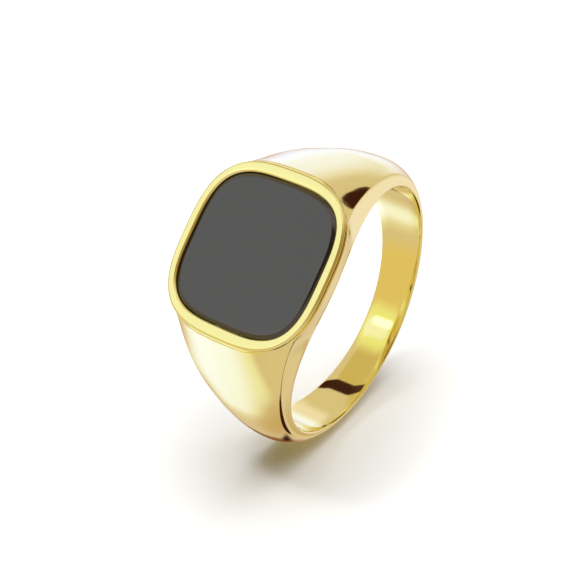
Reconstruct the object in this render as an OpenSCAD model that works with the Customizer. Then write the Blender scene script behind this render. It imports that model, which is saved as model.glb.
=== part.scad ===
// Signet ring with a flat dark stone held in a cushion-shaped bezel.
// The finger hole is centred on the origin and runs along X. Z is up and the face
// of the ring leans towards -Y, so the ring stands on the round of its band.

/* [Finger hole and band] */
// Radius of the finger hole
bore_r = 9.5; // [7.5:0.1:11.5]
// Width of the band at the back
band_w = 3.2; // [2.4:0.1:5]
// Thickness of the band at its middle
band_t = 1.66; // [1.2:0.05:2.4]
// Thickness of the thin edge of the band
edge_t = 0.3; // [0.15:0.05:0.8]
// How far each side of the band swells towards the head
swell = 5.0; // [3:0.1:6]

/* [Head] */
// Height of the face above the centre of the finger hole
face_h = 11.94; // [11.4:0.05:13.5]
// Length of the face around the finger
face_len = 12.76; // [11:0.1:15]
// Width of the face along the finger
face_wid = 12.36; // [11.6:0.1:15]
// Squareness of the face outline, 2 is an ellipse
face_square = 2.94; // [2.4:0.05:4]
// Height of the bezel rim above the shoulders
rim_step = 0.3; // [0.2:0.05:0.6]
// Size of the small broken edges
edge_break = 0.12; // [0.05:0.01:0.2]
// Lean of the face from straight up, in degrees
face_lean = 45; // [0:5:90]

/* [Stone and setting] */
// Width and length of the stone
stone_size = 10.68; // [9:0.1:11]
// Squareness of the stone outline
stone_square = 3.4; // [2.4:0.1:5]
// Thickness of the stone
stone_t = 1.4; // [0.8:0.1:1.8]
// Depth of the stone's surface below the rim
stone_drop = 0.1; // [0:0.02:0.3]
// Width of the bevel round the top of the stone
stone_bevel = 0.26; // [0.1:0.02:0.5]
// Wall of the bezel skirt round the stone
skirt_t = 0.3; // [0.2:0.05:0.4]
// Play between pieces that slide together
play = 0.03; // [0.01:0.01:0.1]
// Thickness of the setting cement under the stone
bed_t = 0.1; // [0.05:0.05:0.3]

/* [Hidden] */
crown_r = bore_r + band_t;
platform_h = face_h - rim_step;
half_len = face_len / 2;
half_wid = face_wid / 2;
stone_half = stone_size / 2;
skirt_in = stone_half + play;
skirt_out = skirt_in + skirt_t;
pocket_half = skirt_out + play;
stone_top = face_h - stone_drop;
stone_foot = stone_top - stone_t;
pocket_floor = stone_foot - bed_t;
skirt_foot = pocket_floor + play;
// The shoulders leave the band along a straight line that touches its circle
tip_reach = norm([half_len, platform_h]);
tip_ang = atan2(half_len, platform_h);
touch_ang = tip_ang + acos(crown_r / tip_reach);
// The edge between the side and the shoulder starts below the corner of the face
corner_ang = 20;
corner_fade = 7;
side_rise = 3.43;
section_count = 88;
arc_steps = 5;
outline_steps = 72;

function share(p) = 1 - abs(p) / 180;
function around(p) = p > 180 ? 360 - p : p;

// Superellipse: half width across at a distance x along
function oval_half(x, a, b, n) = b * pow(max(0, 1 - pow(min(1, abs(x) / a), n)), 1 / n);

// Half width of the ring where its side meets the finger hole
function hole_half(p) =
  band_w / 2 + swell * pow(max(0, 1 - norm([1 - share(p), 0.1])), 2.2);

function platform_r(p) = p < 75 ? platform_h / cos(p) : 4 * bore_r;

// Middle of the outer face: flat platform line, straight shoulder, then round band
function crown(p) = crown_r / cos(max(touch_ang - p, 0));

function side_r(p) = bore_r + edge_t + side_rise * pow(share(p), 3.4);
corner_lift = platform_r(corner_ang) - edge_break - side_r(corner_ang);
corner_out = oval_half(platform_h * tan(corner_ang), half_len, half_wid, face_square)
  - hole_half(corner_ang);
function fade(p) = exp(-(p - corner_ang) / corner_fade);

// Radius and half width of the edge between the side and the outer face
function edge_r(p) = p < corner_ang
  ? platform_r(p) - edge_break
  : side_r(p) + corner_lift * fade(p);
function edge_half(p) = p < corner_ang
  ? oval_half(platform_h * tan(p), half_len, half_wid, face_square)
  : hole_half(p) + corner_out * fade(p) - 0.25 * (1 - fade(p)) * pow(share(p), 4);

// Roundness of the outer face across the band: full at the back, flatter by the head
function roundness(p) = 1.6 + 2.6 * pow(share(p), 2);
function outer_r(p, y) = min(
  platform_r(p),
  crown(p) - (crown(p) - edge_r(p)) * pow(abs(y) / edge_half(p), roundness(p)));

// Half width of the flat platform at this angle
function flat_half(p) =
  let (drop = max(0, crown(p) - platform_r(p)) / (crown(p) - edge_r(p)),
       y = edge_half(p) * pow(drop, 1 / roundness(p)))
  min(max(y, 0.3 * edge_half(p)), edge_half(p) - edge_break);

function side_half(p, r) =
  let (k = (r - bore_r) / (edge_r(p) - bore_r))
  hole_half(p) + (edge_half(p) - hole_half(p)) * k;

// One slice of the ring as [radius, x] pairs
function half_slice(p) = let (f = flat_half(p), e = edge_half(p)) concat(
  [[bore_r - 1, side_half(p, bore_r - 1)]],
  [for (i = [arc_steps : -1 : 0]) let (y = f + (e - f) * i / arc_steps) [outer_r(p, y), y]]);
function slice(p) = let (h = half_slice(p), n = len(h)) concat(
  h,
  [[outer_r(p, 0), 0]],
  [for (i = [n - 1 : -1 : 0]) [h[i][0], -h[i][1]]]);
function slice_angle(i) = 360 * i / section_count - 22 * sin(360 * i / section_count);

// Closed ring of slices
module swept_ring() {
  m = len(slice(0));
  points = [for (i = [0 : section_count - 1])
    let (q = slice_angle(i))
    for (s = slice(around(q))) [s[1], s[0] * sin(q), s[0] * cos(q)]];
  faces = [for (i = [0 : section_count - 1]) for (j = [0 : m - 1])
    let (a = i * m, b = ((i + 1) % section_count) * m, k = (j + 1) % m)
    for (t = [[a + j, a + k, b + k], [a + j, b + k, b + j]]) t];
  polyhedron(points = points, faces = faces, convexity = 8);
}

// Cushion outline with half width a along X and half length b along Y
function cushion(a, b, n) = [for (i = [0 : outline_steps - 1])
  let (q = 360 * i / outline_steps, c = cos(q), s = sin(q))
  [a * sign(c) * pow(abs(c), 2 / n), b * sign(s) * pow(abs(s), 2 / n)]];

// Stack of cushion outlines, each layer given as [inset, height]
module cushion_stack(a, b, n, layers) {
  m = outline_steps;
  top = len(layers) - 1;
  points = [for (l = layers) for (q = cushion(a - l[0], b - l[0], n)) [q[0], q[1], l[1]]];
  walls = [for (i = [0 : top - 1]) for (j = [0 : m - 1])
    let (k = (j + 1) % m, a0 = i * m, b0 = (i + 1) * m)
    for (t = [[a0 + k, a0 + j, b0 + k], [b0 + k, a0 + j, b0 + j]]) t];
  foot = [for (j = [0 : m - 1]) j];
  lid = [for (j = [m - 1 : -1 : 0]) top * m + j];
  polyhedron(points = points, faces = concat([foot, lid], walls), convexity = 2);
}

module cushion_block(half, n, z0, z1) {
  translate([0, 0, z0])
    linear_extrude(height = z1 - z0)
      polygon(cushion(half, half, n));
}

// Leans a head-up piece into the standing position
module lean() {
  rotate([face_lean, 0, 0])
    children();
}

// Cast shank, shoulders and head with the finger hole and the pocket for the setting
module ring_body() {
  color("Gold")
    lean()
      difference() {
        swept_ring();
        rotate([0, 90, 0])
          cylinder(h = 40, r = bore_r, center = true, $fn = 180);
        cushion_block(pocket_half, stone_square, pocket_floor, face_h + 1);
      }
}

// Rim that frames the stone, with a thin skirt that goes down into the pocket
module bezel_collar() {
  color("Khaki")
    lean()
      difference() {
        union() {
          cushion_stack(half_wid - edge_break, half_len - edge_break, face_square, [
            [0, platform_h], [0, face_h - edge_break], [edge_break, face_h]]);
          cushion_block(skirt_out, stone_square, skirt_foot, face_h - edge_break);
        }
        cushion_block(skirt_in, stone_square, skirt_foot - 1, face_h + 1);
      }
}

// Flat stone with a narrow bevel round its top edge
module stone_tablet() {
  color("DimGray")
    lean()
      cushion_stack(stone_half, stone_half, stone_square, [
        [0, stone_foot], [0, stone_top - stone_bevel / 2], [stone_bevel, stone_top]]);
}

// Cement that holds the stone down on the floor of the pocket
module setting_cement() {
  color("DarkGray")
    lean()
      cushion_block(stone_half, stone_square, pocket_floor, stone_foot);
}

ring_body();
bezel_collar();
stone_tablet();
setting_cement();
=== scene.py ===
# %% [markdown]
# # A polished signet ring with a flat dark stone
#
# A signet ring is one casting, with a stone held by a thin collar. It stands on the
# round of its band with its face leaning towards -Y. The CAD model gives the true
# sizes. A mirror finish shows every facet of a mesh, so this lesson swaps the CAD's
# faceted solids for smooth surfaces of the same shape, with softened edges. It then
# gives them gold plate and black stone, and sets up a small studio.

# %% Load the CAD frame
import math

import bpy
import numpy as np
from mathutils import Matrix, Vector


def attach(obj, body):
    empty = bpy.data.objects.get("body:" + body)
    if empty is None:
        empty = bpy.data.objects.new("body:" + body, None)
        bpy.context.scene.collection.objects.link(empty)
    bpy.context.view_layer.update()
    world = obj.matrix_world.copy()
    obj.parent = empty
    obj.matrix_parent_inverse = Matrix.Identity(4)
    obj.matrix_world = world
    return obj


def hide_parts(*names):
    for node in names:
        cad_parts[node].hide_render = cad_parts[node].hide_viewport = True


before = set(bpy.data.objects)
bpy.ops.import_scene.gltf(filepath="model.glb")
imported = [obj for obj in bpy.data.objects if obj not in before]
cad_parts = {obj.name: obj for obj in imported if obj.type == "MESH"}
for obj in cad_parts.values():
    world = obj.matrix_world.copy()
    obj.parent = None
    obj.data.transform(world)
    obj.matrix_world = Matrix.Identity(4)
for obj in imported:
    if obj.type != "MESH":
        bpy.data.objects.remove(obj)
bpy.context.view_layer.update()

# %% [markdown]
# ## Sizes
#
# A bench jeweller works with the face up and level, and so do these formulas. All sizes
# are in millimetres: X along the finger hole, Y round the finger, Z out of the face.
# They are the driving sizes of the CAD model, so both shapes agree. `place` turns
# head-up millimetres into standing metres, which is the frame of the scene.

# %% Sizes of the ring
BORE_R = 9.5
BAND_W = 3.2
CROWN_R = BORE_R + 1.66  # outside of the band
EDGE_T = 0.3  # thickness of the band's thin edge
SWELL = 5.0  # how far each side swells towards the head
SIDE_RISE = 3.43  # how far the side grows outwards towards the head
FACE_H = 11.94
PLATFORM_H = FACE_H - 0.3  # the rim stands on this
HALF_LEN = 12.76 / 2
HALF_WID = 12.36 / 2
FACE_SQUARE = 2.94
EDGE_BREAK = 0.12
STONE_HALF = 10.68 / 2
STONE_SQUARE = 3.4
STONE_TOP = FACE_H - 0.1
STONE_FOOT = STONE_TOP - 1.4
POCKET_FLOOR = STONE_FOOT - 0.1
PLAY = 0.03  # between the stone, the collar and the pocket
SKIRT = 0.3  # wall of the collar beside the stone
POCKET_HALF = STONE_HALF + PLAY + SKIRT + PLAY
LEAN = math.radians(45)
CORNER = 20.0  # degrees from the face to its corner
CORNER_FADE = 7.0  # degrees over which the corner blends into the side
POCKET_END = math.degrees(math.atan2(POCKET_HALF, PLATFORM_H))
TIP = math.degrees(math.atan2(HALF_LEN, PLATFORM_H))
TOUCH = TIP + math.degrees(math.acos(CROWN_R / math.hypot(HALF_LEN, PLATFORM_H)))


def place(points):
    """Head-up millimetres to standing metres: a turn of LEAN about X."""
    c, s = math.cos(LEAN), math.sin(LEAN)
    turn = np.array([[1, 0, 0], [0, c, -s], [0, s, c]])
    return points @ turn.T / 1000.0


print("shoulder leaves the band at", round(TOUCH, 1), "degrees from the face")

# %% [markdown]
# ## Surface maths
#
# The head swells out of a narrow band, with a crisp edge between its flat sides and its
# rounded shoulders. It could be modelled by hand with a subdivision cage, but the
# reflections would ripple. Here each slice of the ring, at an angle `p` in degrees from
# the face, is drawn from four curves: the half width at the finger hole, the edge
# between side and shoulder, the crown along the middle, and how round the top is
# between them. A cushion outline is a superellipse.

# %% Curves that shape the ring
def oval_half(x, a, b, n):
    """b * (1 - |x/a|^n)^(1/n): half width of a superellipse at x."""
    return b * np.maximum(0, 1 - np.minimum(1, np.abs(x) / a) ** n) ** (1 / n)


def hole_half(p):
    """Half the band, plus SWELL times a power of the nearness to the face."""
    return BAND_W / 2 + SWELL * np.maximum(0, 1 - np.hypot(p / 180, 0.1)) ** 2.2


def platform_r(p):
    """Radius of the flat platform, its height / cos p, until it is out of reach."""
    return np.where(p < 75, PLATFORM_H / np.cos(np.radians(np.minimum(p, 75))), 40.0)


def crown(p):
    """Radius along the middle: the band's circle, left by a straight tangent at TOUCH."""
    return CROWN_R / np.cos(np.radians(np.maximum(TOUCH - p, 0)))


def side_r(p):
    """Radius of the side's outer edge: thin at the back, rising as a power to the face."""
    return BORE_R + EDGE_T + SIDE_RISE * (1 - p / 180) ** 3.4


def face_half(p):
    """Half width of the face outline where the ray at p meets the platform."""
    x = PLATFORM_H * np.tan(np.radians(np.minimum(p, 60)))
    return oval_half(x, HALF_LEN, HALF_WID, FACE_SQUARE)


def edge_line(p):
    """Radius and half width of the edge between side and shoulder.

    It is the face outline up to CORNER, and then fades exponentially into the side.
    """
    c = np.array(CORNER)
    fade = np.exp(-(p - CORNER) / CORNER_FADE)
    lift = platform_r(c) - EDGE_BREAK - side_r(c)
    out = face_half(c) - hole_half(c)
    r = np.where(p < CORNER, platform_r(p) - EDGE_BREAK, side_r(p) + lift * fade)
    slim = 0.25 * (1 - fade) * (1 - p / 180) ** 4
    half = np.where(p < CORNER, face_half(p), hole_half(p) + out * fade - slim)
    return r, half


def roundness(p):
    """Power of the arch across the shoulder: near 2 is round, higher is flatter."""
    return 1.6 + 2.6 * (1 - p / 180) ** 2


def outer_r(p, y):
    """Crown less a power of the distance across, cut flat at the platform."""
    r, half = edge_line(p)
    arch = crown(p) - (crown(p) - r) * np.minimum(1, np.abs(y) / half) ** roundness(p)
    return np.minimum(platform_r(p), arch)


print("half width at the hole, face and back:", np.round(hole_half(np.array([0, 180])), 2))

# %% [markdown]
# ## From arrays to objects
#
# Every piece is a grid of points. A ring or a collar closes on itself both ways, like a
# torus, and a tablet is a stack of outlines. One helper turns either into a smooth mesh
# that takes the place of its CAD node. The same cushion outline serves for the stone,
# the collar and the cement.

# %% Helpers that make a mesh
def add_mesh(name, points, faces, node):
    """A smooth closed mesh in place of a CAD node, riding on the ring."""
    mesh = bpy.data.meshes.new(name)
    mesh.from_pydata(points.tolist(), [], faces)
    mesh.shade_smooth()
    obj = bpy.data.objects.new(name, mesh)
    bpy.context.scene.collection.objects.link(obj)
    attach(obj, "root")
    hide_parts(node)
    print(name, "has", len(points), "points")
    return obj


def torus_faces(rows, columns):
    """Quads of a grid that wraps both ways."""
    i, j = np.meshgrid(np.arange(rows), np.arange(columns), indexing="ij")
    a, b = i * columns, (i + 1) % rows * columns
    k = (j + 1) % columns
    return np.stack([a + j, a + k, b + k, b + j], -1).reshape(-1, 4).tolist()


def cushion(inset, z, a, b, n, count=256):
    """Superellipse outline inset by a distance, at height z."""
    q = np.linspace(0, 2 * np.pi, count, endpoint=False)
    c, s = np.cos(q), np.sin(q)
    x = (a - inset) * np.sign(c) * np.abs(c) ** (2 / n)
    y = (b - inset) * np.sign(s) * np.abs(s) ** (2 / n)
    return np.stack([x, y, np.full(count, z)], -1)


# %% [markdown]
# ## Ring body
#
# The real body is cast, filed and polished, with a pocket cut in its head. A boolean cut
# would leave ragged shading, so the pocket is part of the sweep. Half a slice runs from
# the middle of the finger hole, round a softened hole edge, up the side, over a softened
# crease, along the outer face and across the platform to the floor of the pocket.
# The mirrored half closes it. The slices run round the finger, and they bunch up where
# the pocket and the platform end, so that the walls there stay sharp.

# %% Angles of the slices
def slice_angles():
    """Angles of the slices from the face round to the back and up again."""
    hair = 0.02  # gap between the slices on each side of a wall
    near = POCKET_END * np.sin(np.linspace(0, np.pi / 2, 60))
    near[-1] = POCKET_END - hair
    tip = np.linspace(POCKET_END + hair, TIP - hair, 10)
    back = TIP + hair + (180 - TIP - hair) * np.linspace(0, 1, 170) ** 1.15
    half = np.concatenate([near, tip, back])
    return np.concatenate([half, -half[-2:0:-1]])


print(len(slice_angles()), "slices, pocket ends", round(POCKET_END, 1), "degrees from the face")

# %% Finger hole and its edge
HOLE_EDGE = 0.14  # largest rounding where the hole meets the side
FLARE = 0.8  # width over which wear and polish open the hole
FLARE_ANGLE = math.radians(9)


def steps(start, end, count):
    """Even steps from start to end, without the start itself."""
    return start + (end - start) * np.linspace(0, 1, count + 1)[1:, None]


def hole_wall(w, soft):
    """Straight wall, opening over its last FLARE like a parabola until FLARE_ANGLE."""
    x = (w - soft) * np.linspace(0, 1, 13)[:, None]
    past = np.maximum(0, x - (w - soft - FLARE))
    return x, BORE_R + math.tan(FLARE_ANGLE) * past ** 2 / (2 * FLARE)


def hole_edge(w, soft, radius):
    """The rest of a quarter circle, stretched across to end exactly on the side."""
    a = np.linspace(FLARE_ANGLE, np.pi / 2, 6)[1:, None]
    centre_x = w - soft - soft * math.sin(FLARE_ANGLE)
    centre_r = radius + soft * math.cos(FLARE_ANGLE)
    done = (a - FLARE_ANGLE) / (np.pi / 2 - FLARE_ANGLE)
    return centre_x + soft * np.sin(a) + (w - centre_x - soft) * done, centre_r - soft * np.cos(a)


print("hole opens by", round(math.tan(FLARE_ANGLE) * FLARE / 2, 3), "mm over", FLARE, "mm")

# %% Side, crease and outer face
def fold_size(p, r):
    """Rounding of the crease: tight by the head, wider down the band, less than its wall."""
    return np.minimum(np.interp(p, [20, 35, 60], [0.06, 0.08, 0.3]), 0.4 * (r - BORE_R))


def fold(start, corner, end):
    """Curve from start to end that leans on the corner: a quadratic Bezier."""
    t = steps(0.0, 1.0, 9)
    return [(1 - t) ** 2 * s + 2 * t * (1 - t) * c + t * t * e
            for s, c, e in zip(start, corner, end)]


def flat_half(p, r, half):
    """Half width of the flat platform: where the arch across reaches it, within limits."""
    drop = np.maximum(0, crown(p) - platform_r(p)) / (crown(p) - r)
    return np.clip(half * drop ** (1 / roundness(p)), 0.3 * half, half - 0.22)


def pocket_half(p, flat, half):
    """Half width of the pocket at p, kept inside the platform."""
    along = PLATFORM_H * np.tan(np.radians(np.minimum(p, 60)))
    cut = oval_half(along, POCKET_HALF, POCKET_HALF, STONE_SQUARE)
    return np.where(p < POCKET_END, np.clip(cut, 0.05, flat - 0.05), 0.25 * half)


def half_slice(p):
    """Points (x, radius) of half a slice, and how far each sinks into the pocket."""
    w = hole_half(p)
    r, half = edge_line(p)
    soft = np.minimum(HOLE_EDGE, 0.35 * (r - BORE_R))
    turn = fold_size(p, r)
    slope = (half - w) / (r - BORE_R)
    wall = hole_wall(w, soft)
    edge = hole_edge(w, soft, wall[1][-1])
    rise = steps(edge[1][-1], r - turn, 6)
    side = w + slope * (rise - BORE_R), rise
    end_x = half - 0.7 * turn
    crease = fold((side[0][-1], r - turn), (half, r), (end_x, outer_r(p, end_x)))
    flat = flat_half(p, r, half)
    cut = pocket_half(p, flat, half)
    face = steps(end_x, flat, 15)
    shelf = steps(flat, cut, 4)
    inside = p < POCKET_END
    share = np.where(inside, np.array([1, 1, 0.75, 0.5, 0.25, 0.0])[:, None],
                     np.linspace(5, 0, 6)[:, None] / 6)
    tops = [(x, outer_r(p, x)) for x in (face, shelf, cut * share)]
    parts = [wall, edge, side, crease, *tops]
    x, radius = (np.concatenate([part[i] * np.ones_like(p) for part in parts]) for i in (0, 1))
    sink = np.zeros_like(x)
    depth = np.where(inside, PLATFORM_H - POCKET_FLOOR, 0.0)
    sink[-6:] = depth * np.array([0.5, 1, 1, 1, 1, 1])[:, None]
    return x, radius, sink


print("one half slice has", len(half_slice(np.array([0.0]))[0]), "points")

# %% Sweep the body
def body_points():
    """The slices set round the finger: y = -r sin q, z = r cos q less the pocket drop."""
    q = slice_angles()
    x, r, sink = half_slice(np.abs(q))
    x = np.concatenate([x, -x[-2:0:-1]])
    r = np.concatenate([r, r[-2:0:-1]])
    sink = np.concatenate([sink, sink[-2:0:-1]])
    a = np.radians(q)
    return np.stack([x, -r * np.sin(a), r * np.cos(a) - sink], -1).transpose(1, 0, 2)


points = body_points()
rows, columns = points.shape[:2]
body = add_mesh("ring_body_polished", place(points.reshape(-1, 3)),
                torus_faces(rows, columns), "ring_body")

# %% [markdown]
# ## Bezel collar
#
# The collar is the flat rim that frames the stone, with a thin skirt that goes down
# beside it. A jeweller would press it from thin sheet. One profile runs round the stone:
# up the outer wall, over the rim, down the inner wall and back under the skirt. Outer
# lines follow the face outline and inner ones the stone, which is squarer, so the rim
# narrows a little at its corners. The outer edge is a small rounding that stays inside
# the CAD's broken edge, and two close lines hold the top flat beside it.

# %% Collar round the stone
def collar_points():
    """Loops of the collar, from the outer foot over the rim to the inner foot."""
    def outer(inset, z):
        return cushion(inset, z, HALF_WID - EDGE_BREAK, HALF_LEN - EDGE_BREAK, FACE_SQUARE)

    def inner(inset, z):
        return cushion(inset, z, STONE_HALF, STONE_HALF, STONE_SQUARE)

    rounding = [(0, 0.15), (0.01, 0.12), (0.03, 0.095), (0.06, 0.062), (0.095, 0.03),
                (0.12, 0.008), (0.14, 0), (0.16, 0)]  # inset and drop below the face
    loops = [inner(-PLAY - SKIRT, POCKET_FLOOR + PLAY), inner(-PLAY - SKIRT, PLATFORM_H)]
    loops += [outer(0.06, PLATFORM_H), outer(0.0, PLATFORM_H + 0.02)]
    loops += [outer(inset, FACE_H - drop) for inset, drop in rounding]
    loops += [inner(-0.15, FACE_H), inner(-0.14, FACE_H - 0.002)]
    loops += [inner(-0.12, FACE_H - 0.015), inner(-0.045, STONE_TOP)]
    loops += [inner(-0.035, STONE_TOP - 0.03), inner(-PLAY, STONE_TOP - 0.2)]
    loops += [inner(-PLAY, POCKET_FLOOR + PLAY)]
    return np.array(loops)


points = collar_points()
rows, columns = points.shape[:2]
collar = add_mesh("bezel_collar_polished", place(points.reshape(-1, 3)),
                  torus_faces(rows, columns), "bezel_collar")

# %% [markdown]
# ## Stone and cement
#
# The stone is a flat tablet, sawn, lapped and given a narrow bevel so that its edge
# doesn't chip. The cement is the thin film under it. Both are stacks of outlines closed
# by a middle point at each end. The last outlines of the stone are close together at
# its rim, so that the smooth shading of the bevel doesn't spill over the flat top.

# %% Stone tablet and its cement
def stack(name, loops, node):
    """Outlines joined upwards, closed by a fan under the first and over the last."""
    loops = np.array(loops)
    rows, columns = loops.shape[:2]
    ends = np.array([loops[0].mean(0), loops[-1].mean(0)])
    points = np.concatenate([loops.reshape(-1, 3), ends])
    i, j = np.meshgrid(np.arange(rows - 1), np.arange(columns), indexing="ij")
    k = (j + 1) % columns
    walls = np.stack([i * columns + j, i * columns + k,
                      (i + 1) * columns + k, (i + 1) * columns + j], -1)
    j, k = np.arange(columns), (np.arange(columns) + 1) % columns
    base = rows * columns
    under = np.stack([np.full(columns, base), k, j], -1)
    over = np.stack([np.full(columns, base + 1), j + base - columns, k + base - columns], -1)
    faces = walls.reshape(-1, 4).tolist() + under.tolist() + over.tolist()
    return add_mesh(name, place(points), faces, node)


def stone_loops():
    """Straight wall, narrow bevel, softened line, then flat top."""
    sizes = [(0.0, STONE_FOOT), (0.0, STONE_TOP - 0.14), (0.02, STONE_TOP - 0.12),
             (0.22, STONE_TOP - 0.012), (0.25, STONE_TOP - 0.003), (0.28, STONE_TOP)]
    sizes += [(0.3 + 5.0 * s, STONE_TOP) for s in (0.0, 0.04, 0.3, 0.6, 0.9)]
    return [cushion(d, z, STONE_HALF, STONE_HALF, STONE_SQUARE) for d, z in sizes]


stone = stack("stone_tablet_polished", stone_loops(), "stone_tablet")
bed = [cushion(d, z, STONE_HALF, STONE_HALF, STONE_SQUARE)
       for d, z in ((0.0, POCKET_FLOOR), (0.0, STONE_FOOT))]
cement = stack("setting_cement_film", bed, "setting_cement")

# %% [markdown]
# ## Finishes
#
# Real polish is never quite even: the tone drifts a little, and fine marks blur what it
# mirrors. So each finish is two close tones clouded together over a few millimetres,
# with faint marks in relief on Object coordinates. Buffing marks are finer than could
# be seen, so they are drawn about a twelfth of a millimetre apart. Colours are written
# as sRGB hex and turned into light by one function.

# %% Colour and node helpers
def light(hexcode):
    """sRGB hex to linear RGBA."""
    c = np.array([int(hexcode[i:i + 2], 16) for i in (0, 2, 4)]) / 255
    c = np.where(c <= 0.04045, c / 12.92, ((c + 0.055) / 1.055) ** 2.4)
    return (*[float(v) for v in c], 1.0)


def node(tree, kind, links=(), **settings):
    """Adds a node; settings go to its sockets or properties, links are (socket, output)."""
    n = tree.nodes.new(kind)
    for key, value in settings.items():
        if key in n.inputs:
            n.inputs[key].default_value = value
        else:
            setattr(n, key, value)
    for socket, output in links:
        tree.links.new(output, n.inputs[socket])
    return n


print("white is", light("FFFFFF"))

# %% Recipe of a finish
MARKS_PER_MM = 12
MARK_DEPTH = 0.00001


def finish_material(name, pieces, tones, scale_mm, bump, **shader):
    """A polished finish: two close tones clouded together, and faint fine marks."""
    material = bpy.data.materials.new(name)
    material.use_nodes = True
    tree = material.node_tree
    tree.nodes.clear()
    where = node(tree, "ShaderNodeTexCoord").outputs["Object"]
    cloud = node(tree, "ShaderNodeTexNoise", [("Vector", where)], Scale=1000 / scale_mm, Detail=3.0)
    tone = node(tree, "ShaderNodeMix", [("Factor", cloud.outputs["Fac"])], data_type="RGBA")
    tone.inputs[6].default_value, tone.inputs[7].default_value = light(tones[0]), light(tones[1])
    marks = node(tree, "ShaderNodeTexNoise", [("Vector", where)],
                 Scale=1000.0 * MARKS_PER_MM, Detail=4.0)
    relief = node(tree, "ShaderNodeBump", [("Height", marks.outputs["Fac"])],
                  Strength=bump, Distance=MARK_DEPTH)
    surface = node(tree, "ShaderNodeBsdfPrincipled", [
        ("Base Color", tone.outputs[2]), ("Normal", relief.outputs["Normal"])], **shader)
    node(tree, "ShaderNodeOutputMaterial", [("Surface", surface.outputs["BSDF"])])
    for piece in pieces:
        piece.data.materials.append(material)
    return material


print("marks are", round(1 / MARKS_PER_MM, 3), "mm apart")

# %% Gold plate
# High-polish gold plate: cast silver, buffed to a mirror and then plated a micron thick.
# The eye sees the room in it, tinted yellow, and deeper yellow where it mirrors itself.
GOLD = ("F8F3AA", "F6EFA4")
finish_material("polished_gold_plate", [body], GOLD, 4.0, 0.05, Metallic=1.0, Roughness=0.06)
# The same plate on the collar, buffed once more after setting: flat and a touch softer,
# so the rim looks like one even pale line.
finish_material("polished_gold_bezel", [collar], GOLD, 4.0, 0.05, Metallic=1.0, Roughness=0.1)
print("gold tones:", GOLD)

# %% Black stone
# Lapped black stone, such as onyx, sawn and polished flat on a wheel: opaque, nearly
# black, with an even sheen. Under a bright tent the flat top reads as dark grey, and the
# bevel as a thin black line. The index starts from 1.54, the usual one of onyx, and is
# raised until the sheen is as strong as on the real stone.
finish_material("lapped_black_stone", [stone], ("151412", "1A1916"), 3.0, 0.02,
                Roughness=0.1, IOR=1.84)

# %% Setting cement
# Cured two-part setting cement: pressed thin, dull and slightly rough. It is hidden.
finish_material("setting_cement", [cement], ("57544E", "4A4843"), 1.0, 0.3, Roughness=0.8)
print("finishes:", [m.name for m in bpy.data.materials])

# %% [markdown]
# ## Studio
#
# Jewellery is lit inside a tent, because polished gold shows whatever is round it. A
# white paper floor touches the lowest point of the band. The world holds the rest, in
# three layers: a plain white backdrop behind the ring, a wide soft dome with a small
# key lamp that light the floor and give the soft shadow, and the mirrored studio.
# The mirrored one is painted on its own because it decides the look of the metal: a
# warm tan tent, pale softboxes, and a few dark gaps between them that draw the brown
# lines on the gold. Lamp objects could do it, but soft ellipses on the sphere of
# directions are smooth and quick. Each is full up to its core and gone at its edge.

# %% Floor
FLOOR_SIZE = 3
bpy.ops.mesh.primitive_plane_add(size=FLOOR_SIZE, location=(0, 0, -CROWN_R / 1000))
floor = bpy.context.object
floor.name = "studio_floor"
floor.visible_glossy = False
# Matt white paper: the eye gets only the shadow from it.
paper = bpy.data.materials.new("white_paper")
paper.use_nodes = True
paper_surface = paper.node_tree.nodes["Principled BSDF"]
paper_surface.inputs["Base Color"].default_value = light("F4F4F4")
paper_surface.inputs["Roughness"].default_value = 0.9
floor.data.materials.append(paper)
print("floor at", round(-CROWN_R, 2), "mm")

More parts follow.
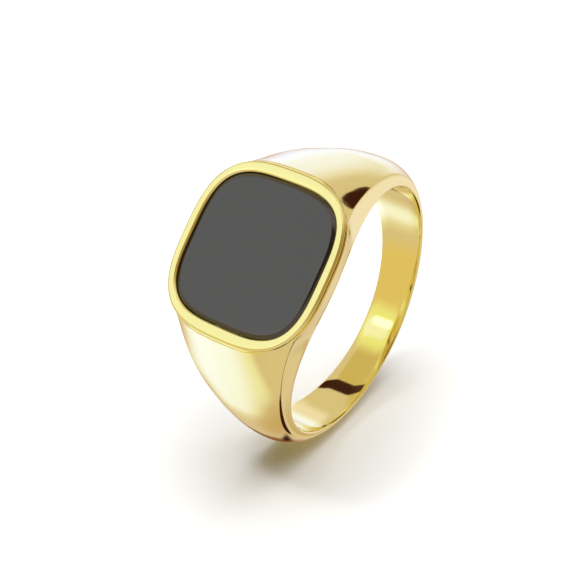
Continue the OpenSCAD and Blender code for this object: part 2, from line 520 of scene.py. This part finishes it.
# %% What the gold mirrors
TENT = ("FFE8D6", 0.745)
COOL, CREAM, WHITE, AMBER, DARK = "C6CCFF", "FFFCBE", "FFFFFF", "FFE0A2", ("FF8670", 0.05)
PATCHES = [  # name, azimuth, elevation, half width, half height, tilt, core, (colour, strength)
    # warm sides of the tent
    ("amber_side", 95, 25, 62, 38, 0, 0.3, ("FFC46A", 0.42)),
    ("amber_front", -29, 0, 30, 42, 0, 0.5, (AMBER, 0.80)),
    ("amber_top", -95, 66, 45, 12, 0, 0.5, (AMBER, 0.65)),
    # what the floor and the horizon give back
    ("floor_shadow", -100, -84, 31, 31, 0, 0.2, ("FFD9AF", 0.62)),
    ("pale_back_floor", 172, -30, 30, 30, 0, 0.1, ("FFF1FB", 0.95)),
    ("shadow_back_low", 168, -46, 9, 9, 0, 0.3, ("FFDDBB", 0.62)),
    ("horizon_glow", -142, -6, 40, 26, 0, 0.3, ("FFFAFC", 0.93)),
    ("horizon_box", -140, -10, 34, 24, 0, 0.15, (COOL, 1.90)),
    ("low_front_box", -45, -59, 20, 9, 0, 0.15, ("FFFDEE", 0.93)),
    ("low_left_glow", -78, -49, 36, 19, -20, 0.3, ("FFFAFC", 0.95)),
    ("low_left_box", -76, -51, 24, 12, -20, 0.1, (COOL, 1.90)),
    ("outline_behind", -142, -34, 34, 34, 0, 0.2, ("FFDDA8", 0.66)),
    ("amber_left", -115, -12, 17, 17, 0, 0.5, ("FFC46A", 0.35)),
    # softboxes, and a brown card below
    ("warm_glow", -42, 40, 26, 26, 0, 0.45, (CREAM, 0.92)),
    ("face_box", -45, 40, 11, 11, 0, 0.6, (WHITE, 1.00)),
    ("window_strip", -33.5, 37, 6.5, 4.5, 0, 0.5, (WHITE, 1.70)),
    ("brown_low", -136, -52, 9, 15, 0, 0.4, ("FFB26A", 0.28)),
    ("bore_glow", -149, 14, 10, 14, 0, 0.1, ("FFEFF8", 0.95)),
    # dark gaps between the panels of the tent
    ("gap_over_stone", 28, 56, 32, 18, 0, 0.7, ("FFC46A", 0.08)),
    ("gap_high", -129.5, 52, 4.8, 30, 6.5, 0.9, DARK),
    ("gap_back", -178, 30, 12, 7.5, 0, 0.94, DARK),
    ("gap_corner", 164, 27, 18.5, 12.5, 18, 0.94, DARK),
    ("gap_low", 110, -72, 19, 24, 45, 0.9, DARK),
    ("side_glow", 78, -62, 14, 9, 0, 0.8, ("FFE8D6", 0.74)),
    ("gap_wedge", -142, -62, 3.2, 13, 0, 0.2, DARK),
]
print("painted with", len(PATCHES), "patches")

# %% What lights the floor
NIGHT = (WHITE, 0.02)
LAMPS = [  # a wide soft dome and a small key lamp high in front
    ("dome", 133, 84, 46, 46, 0, 0.3, (WHITE, 4.8)),
    ("key", -34, 70, 8, 8, 0, 0.3, (WHITE, 26.0)),
]
print("lit by", [lamp[0] for lamp in LAMPS])

# %% Paint directions
def direction_axes(azimuth, elevation, tilt):
    """Right, up and outward axes of a direction; azimuth 0 is -Y and grows towards +X."""
    a, e, t = (math.radians(v) for v in (azimuth, elevation, tilt))
    out = Vector((math.sin(a) * math.cos(e), -math.cos(a) * math.cos(e), math.sin(e)))
    right = Vector((math.cos(a), math.sin(a), 0)) * math.cos(t) + Vector((
        -math.sin(a) * math.sin(e), math.cos(a) * math.sin(e), math.cos(e))) * math.sin(t)
    return right, out.cross(right), out


def glow(colour, strength):
    """Hex colour times strength."""
    return tuple(strength * c for c in light(colour)[:3]) + (1.0,)


def reach(angle):
    """Straight distance on a unit sphere across an angle in degrees."""
    return 2 * math.sin(math.radians(angle) / 2)


print("a 30 degree patch reaches", round(reach(30), 3))

# %% Paint a sky of patches
world = bpy.data.worlds.new("studio")
bpy.context.scene.world = world
world.use_nodes = True
tree = world.node_tree
tree.nodes.clear()
look = node(tree, "ShaderNodeTexCoord").outputs["Generated"]


def paint(base, patches):
    """Patches laid one over another on a base colour, as a background shader."""
    mixed = node(tree, "ShaderNodeRGB").outputs[0]
    mixed.default_value = glow(*base)
    for name, azimuth, elevation, width, height, tilt, core, tone in patches:
        right, up, out = direction_axes(azimuth, elevation, tilt)
        turn = Matrix((right, up, out)).transposed().to_euler()
        size = (reach(width), reach(height), reach(max(width, height)))
        local = node(tree, "ShaderNodeMapping", [("Vector", look)], vector_type="TEXTURE",
                     Location=out, Rotation=turn, Scale=size, label=name)
        away = node(tree, "ShaderNodeVectorMath", [(0, local.outputs[0])], operation="LENGTH")
        mask = node(tree, "ShaderNodeMapRange", [("Value", away.outputs["Value"])],
                    interpolation_type="SMOOTHSTEP")
        mask.inputs["From Min"].default_value = 1.0
        mask.inputs["From Max"].default_value = core
        mix = node(tree, "ShaderNodeMix", [("Factor", mask.outputs["Result"]), (6, mixed)],
                   data_type="RGBA")
        mix.inputs[7].default_value = glow(*tone)
        mixed = mix.outputs[2]
    return node(tree, "ShaderNodeBackground", [("Color", mixed)])


mirrored = paint(TENT, PATCHES)
soft = paint(NIGHT, LAMPS)
print("painted world:", len(tree.nodes), "nodes")

# %% Mirrored studio, lamps and backdrop, each for its own rays
path = node(tree, "ShaderNodeLightPath")
both = node(tree, "ShaderNodeMixShader", [("Fac", path.outputs["Is Glossy Ray"])])
tree.links.new(soft.outputs[0], both.inputs[1])
tree.links.new(mirrored.outputs[0], both.inputs[2])
backdrop = node(tree, "ShaderNodeBackground", Color=light("FFFFFF"), Strength=1.0)
seen = node(tree, "ShaderNodeMixShader", [("Fac", path.outputs["Is Camera Ray"])])
tree.links.new(both.outputs[0], seen.inputs[1])
tree.links.new(backdrop.outputs[0], seen.inputs[2])
node(tree, "ShaderNodeOutputWorld", [("Surface", seen.outputs[0])])
print("world surface is", seen.name)

# %% [markdown]
# ## Camera
#
# A product camera stands well back with a long lens, so that the ring keeps its
# proportions. It looks down from the right front, from a direction given as azimuth and
# elevation round a point near the middle of the finger hole, with a slight roll.

# %% Camera
AZIMUTH, ELEVATION, ROLL = 38.07, 34.44, -1.53
DISTANCE, AIM = 0.107, Vector((-0.00223, -0.00147, 0.00051))

right, up, out = direction_axes(AZIMUTH, ELEVATION, ROLL)
camera_data = bpy.data.cameras.new("camera")
camera_data.sensor_width = 36.0
camera_data.lens = 89.28
camera_data.clip_start = 0.005
camera = bpy.data.objects.new("camera", camera_data)
bpy.context.scene.collection.objects.link(camera)
facing = Matrix((right, up, out)).transposed().to_4x4()
camera.matrix_world = Matrix.Translation(AIM + DISTANCE * out) @ facing
bpy.context.scene.camera = camera
bpy.context.scene.view_settings.view_transform = "Standard"
print("camera stands at", [round(v, 4) for v in camera.matrix_world.translation])
